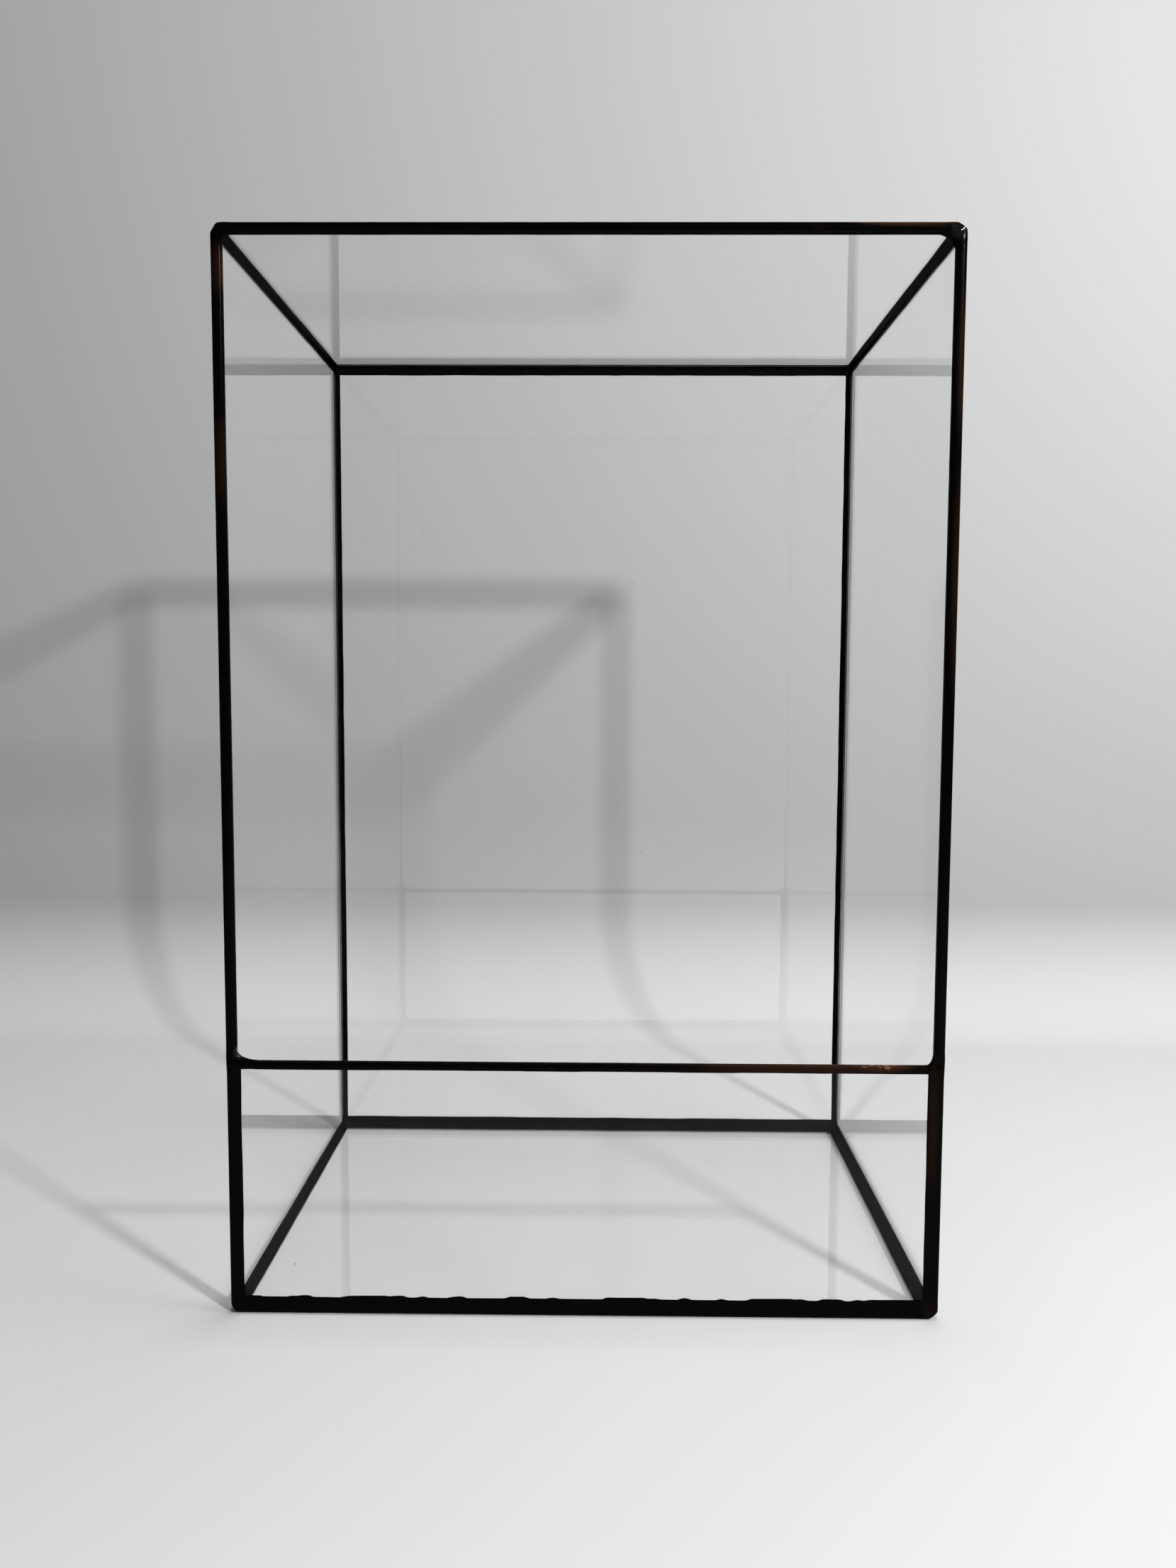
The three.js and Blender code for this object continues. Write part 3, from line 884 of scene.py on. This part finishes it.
def paneCutter():  # the foiled panes, grown to the solder's side of the foil
    vertices, faces = [], []
    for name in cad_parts:
        if not name.endswith("_glass"):
            continue
        low, high = (Vector(corner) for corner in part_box(name))
        low, high = low - Vector((wrap,) * 3), high + Vector((wrap,) * 3)
        offset = len(vertices)
        for x in (low.x, high.x):
            for y in (low.y, high.y):
                for z in (low.z, high.z):
                    vertices.append((x, y, z))
        for face in ((0, 1, 3, 2), (4, 6, 7, 5), (0, 4, 5, 1), (2, 3, 7, 6), (0, 2, 6, 4), (1, 5, 7, 3)):
            faces.append([offset + i for i in face])
    mesh = bpy.data.meshes.new("paneCutter")
    mesh.from_pydata(vertices, [], faces)
    return newObject("paneCutter", mesh)


cutter = paneCutter()


def pourLump(node, clay, seed, corner=None, trims=()):
    mesh = bpy.data.meshes.new(node + "_clay")
    mesh.from_pydata([tuple(v) for v in clay.points], [], clay.faces)
    host = newObject(node + "_host", mesh)
    remesh = host.modifiers.new("voxels", "REMESH")
    remesh.mode = "VOXEL"
    remesh.voxel_size = lump["voxel"]
    joined = plainMesh(host, node + "_joined")
    for normal, depth in trims:
        outwards = Vector(normal).normalized()
        for vertex in joined.vertices:
            over = (vertex.co - corner).dot(outwards) + depth * mm
            if over > 0:
                vertex.co -= outwards * over
    host.modifiers.remove(remesh)
    host.data = joined
    smooth = host.modifiers.new("flow", "SMOOTH")
    smooth.factor = lump["smoothFactor"]
    smooth.iterations = lump["smoothing"]
    flowed = plainMesh(host, node + "_flowed")
    host.modifiers.remove(smooth)
    normals = [vertex.normal.copy() for vertex in flowed.vertices]
    for vertex, normal in zip(flowed.vertices, normals):
        wave = noise.noise(vertex.co * lump["rippleScale"] + Vector((seed, 0.0, 0.0)))
        vertex.co += normal * wave * lump["ripple"]
    host.data = flowed
    cut = host.modifiers.new("panes", "BOOLEAN")
    cut.operation = "DIFFERENCE"
    cut.solver = "EXACT"
    cut.object = cutter
    poured = plainMesh(host, node + "_poured")
    bpy.data.objects.remove(host)
    poured.materials.clear()
    poured.materials.append(blackPatina)
    poured.polygons.foreach_set("use_smooth", [True] * len(poured.polygons))
    poured.set_sharp_from_angle(angle=lump["crease"])
    settle(poured, node)


cornerShapes = {  # trims: outward direction (X away from the middle) and depth in millimetres
    "top_front_left": {
        "trims": [((0.83, -0.2, 0.56), 1.45)],
        "bank": {"width": 3.2, "height": 3.6, "sag": 0.75},
    },
    "top_front_right": {
        "trims": [((0.61, -0.15, 0.79), 1.4)],
        "bank": {"width": 5.4, "height": 4.6, "sag": 0.62},
        "blobs": [((1.95, 1.6, 2.15), 1.9)],
    },
    "bottom_front_left": {
        "trims": [((0.94, -0.2, 0.34), 0.95), ((0.8, -0.2, 0.6), 1.5), ((0.5, -0.2, 0.87), 1.3)],
    },
    "bottom_front_right": {
        "trims": [((0.9, -0.2, 0.44), 1.1), ((0.707, -0.2, 0.707), 1.65), ((0.45, -0.2, 0.9), 1.25)],
    },
    "bottom_back": {"trims": [((0.577, 0.577, 0.577), 1.9)]},
    "top_back": {"trims": [((0.577, 0.577, 0.577), 1.9)]},
}


def buildCorner(place, side, shape):
    level, end = place.split("_")
    frontUprights = {"bottom_front": f"sill_{side}_seam", "top_front": f"front_{side}_bead"}
    meeting = [
        "top_front_bead" if place == "top_front" else place + "_seam",
        f"{level}_{side}_seam",
        frontUprights.get(place, f"back_{side}_seam"),
    ]
    sides = (-1 if side == "left" else 1, -1 if end == "front" else 1, 0 if level == "bottom" else 1)
    corner = edgePoint(sides)
    outwards = Vector((sides[0], sides[1], 1 if sides[2] else -1))
    rounds = [
        (lump["beadRound"] if runs[node]["kind"] == "bead" else runs[node]["round"]) * mm
        for node in meeting
    ]
    clay = Clay()
    for axis, node in enumerate(meeting):
        axisP, axisQ = ("xyz".index(runs[node][way][1]) for way in "pq")
        inwards = Vector([-outwards[i] if i == axis else 0.0 for i in range(3)])
        # the edge between this run's axis and P runs along Q's axis, and the other way round
        clay.stub(node, corner, inwards, cornerReach + lump["stub"], rounds[axisQ], rounds[axisP])
    for (x, y, z), radius in shape.get("blobs", ()):
        inset = Vector((x * outwards.x, y * outwards.y, z * outwards.z))
        clay.blob(corner - inset * mm, radius * mm)
    if "bank" in shape:
        inner = corner - Vector((outwards.x, 0, outwards.z)) * beadThickness
        clay.bank(inner, Vector((-outwards.x, 0, 0)), Vector((0, 0, -outwards.z)), shape["bank"])
    trims = [((x * outwards.x, y, z * outwards.z), depth) for (x, y, z), depth in shape["trims"]]
    seed = 3.0 * sides[0] + sides[2]
    pourLump(f"{place}_{side}_corner", clay, seed, corner, trims)


for place in ("bottom_front", "bottom_back", "top_front", "top_back"):
    for side in ("left", "right"):
        buildCorner(place, side, cornerShapes.get(f"{place}_{side}", cornerShapes.get(place)))
print("corners poured")


sillPuddles = {
    "left": {"width": 6.2, "height": 3.3, "sag": 0.8},
    "right": {"width": 1.9, "height": 4.6, "sag": 0.6},
}


def buildSillJoint(side, puddle):
    sideX = -1 if side == "left" else 1
    node = f"sill_{side}_joint"
    low, high = (Vector(corner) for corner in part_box(node))
    within = Vector((-sideX, 0, 0))
    onSill = edgePoint((sideX, -1, "sill"))
    clay = Clay()
    clay.stub(f"front_{side}_bead", onSill - Vector((0, 0, lump["underRim"])), Vector((0, 0, 1)),
              high.z - sillTop + lump["stub"] + lump["underRim"])
    clay.stub(f"sill_{side}_seam", onSill, Vector((0, 0, -1)), sillTop - low.z + lump["stub"])
    clay.stub("sill_rim_bead", onSill + within * beadThickness / 2, within,
              high.x - low.x + lump["stub"] - beadThickness / 2)
    clay.bank(onSill + within * beadThickness, within, Vector((0, 0, 1)), puddle)
    pourLump(node, clay, seed=5.0 + sideX)


for side, puddle in sillPuddles.items():
    buildSillJoint(side, puddle)
bpy.data.objects.remove(cutter)
print("sill joints poured")


# Camera, fitted to the edges of the box in the photograph

shot = {
    "place": (4.82 * mm, -421.75 * mm, 179.95 * mm),
    "pitch": math.radians(4.727),  # down
    "yaw": math.radians(-0.679),
    "roll": math.radians(0.239),
    "focalPixels": 1797.0,
    "framePixels": 2212.0,
    "sensor": 36.0,
    "clip": (0.01, 20.0),
}


def aimCamera():
    camera = bpy.data.cameras.new("camera")
    camera.sensor_width = shot["sensor"]
    camera.lens = shot["focalPixels"] / shot["framePixels"] * camera.sensor_width
    camera.clip_start, camera.clip_end = shot["clip"]
    seen = newObject("camera", camera)
    pitch, yaw, roll = shot["pitch"], shot["yaw"], shot["roll"]
    ahead = Vector((math.sin(yaw) * math.cos(pitch), math.cos(yaw) * math.cos(pitch), -math.sin(pitch)))
    right = Vector((math.cos(yaw), -math.sin(yaw), 0.0))
    up = right.cross(ahead)
    right, up = (
        right * math.cos(roll) + up * math.sin(roll),
        up * math.cos(roll) - right * math.sin(roll),
    )
    turn = Matrix((right, up, -ahead)).transposed().to_4x4()
    seen.matrix_world = Matrix.Translation(shot["place"]) @ turn
    bpy.context.scene.camera = seen


aimCamera()


# The studio: a pale cove that shows only from inside, a flat floor under it, a small key lamp,
# two soft lamps and an even sky

studio = {
    "floorReach": 0.192,  # flat floor, from the middle to the bend behind the box
    "coveRadius": 0.061,
    "bendSteps": 16,
    "innerRing": 0.5,  # of the floor's reach
    "wallTop": 1.7,
    "floorSize": 6.0,
    "floorDrop": 1 * mm,  # below the cove's own floor
    "squareness": 5.0,
    "stretch": {"left": 5.0, "right": 6.0, "front": 6.0},  # of the plan on the other sides
    "steps": 160,
    "pale": (0.82, 0.82, 0.82),
    "mottle": 0.985,  # the darker share of it
    "mottleScale": 3.0,
    "roughness": 0.9,
    "specular": 0.1,
    "sky": 0.1,
    "seenSky": 0.85,
}
lamps = {
    "key": {"place": (0.386, -0.528, 0.541), "aim": (0.0, 0.05, 0.14), "size": 0.06, "power": 3.2,
            "mirrored": True},
    "window": {"place": (0.74, -0.14, 0.6), "aim": (0.12, 0.16, 0.08), "size": 0.5, "power": 2.5},
    "above": {"place": (0.15, 0.05, 1.6), "aim": (0.0, 0.0, 0.0), "size": 0.6, "power": 9.5},
}


def buildCove():
    flat, bend, count = studio["floorReach"], studio["coveRadius"], studio["steps"]
    profile = [(flat * studio["innerRing"], 0.0)]
    for i in range(studio["bendSteps"] + 1):
        turn = math.pi / 2 * i / studio["bendSteps"]
        profile.append((flat + bend * math.sin(turn), bend * (1 - math.cos(turn))))
    profile.append((flat + bend, studio["wallTop"]))
    plan, power = [], studio["squareness"]
    for i in range(count):
        turn = 2 * math.pi * i / count
        x, y = math.cos(turn), math.sin(turn)
        swing = (abs(x) ** power + abs(y) ** power) ** (-1 / power)
        wide = studio["stretch"]["right" if x > 0 else "left"]
        long = 1.0 if y > 0 else studio["stretch"]["front"]
        plan.append((x * swing * wide, y * swing * long))
    vertices, faces = [(0.0, 0.0, 0.0)], []
    for reach, z in profile:
        vertices += [(reach * x, reach * y, z) for x, y in plan]
    for i in range(count):
        faces.append([0, 1 + i, 1 + (i + 1) % count])
    for ring in range(len(profile) - 1):
        faces += ringFaces(1 + ring * count, 1 + (ring + 1) * count, count)
    mesh = bpy.data.meshes.new("cove")
    mesh.from_pydata(vertices, [], faces)
    mesh.polygons.foreach_set("use_smooth", [True] * len(faces))
    mesh.materials.append(palePaint)
    newObject("cove", mesh)


def layFloor():  # goes on where the cove's wall, not seen from behind, would end it
    reach, drop = studio["floorSize"] / 2, studio["floorDrop"]
    corners = [(x * reach, y * reach, -drop) for x, y in ((-1, -1), (1, -1), (1, 1), (-1, 1))]
    mesh = bpy.data.meshes.new("floor")
    mesh.from_pydata(corners, [], [[0, 1, 2, 3]])
    mesh.materials.append(palePaint)
    newObject("floor", mesh)


def paintFinish():
    made = Finish("palePaint")
    made.shader.inputs["Roughness"].default_value = studio["roughness"]
    made.shader.inputs["Specular IOR Level"].default_value = studio["specular"]
    darker = tuple(c * studio["mottle"] for c in studio["pale"])
    mottled = noiseNode(made.tree, made.place, studio["mottleScale"], detail=2.0)
    made.feed("Base Color", made.mixed(mottled, studio["pale"], darker))
    path = made.nodes.new("ShaderNodeLightPath").outputs
    hidden = made.nodes.new("ShaderNodeNewGeometry").outputs["Backfacing"]
    for ray in ("Is Shadow Ray", "Is Diffuse Ray"):
        hidden = made.maths("MAXIMUM", hidden, path[ray])
    made.letThrough(hidden)
    return made.material


def lightSky():
    world = bpy.data.worlds.new("sky")
    bpy.context.scene.world = world
    world.use_nodes = True
    tree = world.node_tree
    tree.nodes.clear()
    path = tree.nodes.new("ShaderNodeLightPath").outputs
    seen = mathsNode(tree, "MAXIMUM", path["Is Camera Ray"], path["Is Transmission Ray"])
    strength = {"Value": seen, "To Min": studio["sky"], "To Max": studio["seenSky"]}
    strength = addNode(tree, "ShaderNodeMapRange", strength)[0]
    white = {"Color": (1.0, 1.0, 1.0, 1.0), "Strength": strength}
    sky = addNode(tree, "ShaderNodeBackground", white)[0]
    addNode(tree, "ShaderNodeOutputWorld", {"Surface": sky})


def hangLamp(name, lamp):
    light = bpy.data.lights.new(name, "AREA")
    light.shape = "DISK"
    light.size = lamp["size"]
    light.energy = lamp["power"]
    hung = newObject(name, light)
    hung.visible_camera = hung.visible_transmission = False
    hung.visible_glossy = lamp.get("mirrored", False)  # the soft lamps don't show in the panes
    direction = Vector(lamp["aim"]) - Vector(lamp["place"])
    hung.rotation_mode = "QUATERNION"
    hung.rotation_quaternion = direction.to_track_quat("-Z", "Y")
    hung.location = lamp["place"]


palePaint = paintFinish()
buildCove()
layFloor()
lightSky()
for name, lamp in lamps.items():
    hangLamp(name, lamp)
bpy.context.scene.view_settings.view_transform = "Standard"
print("studio lit")
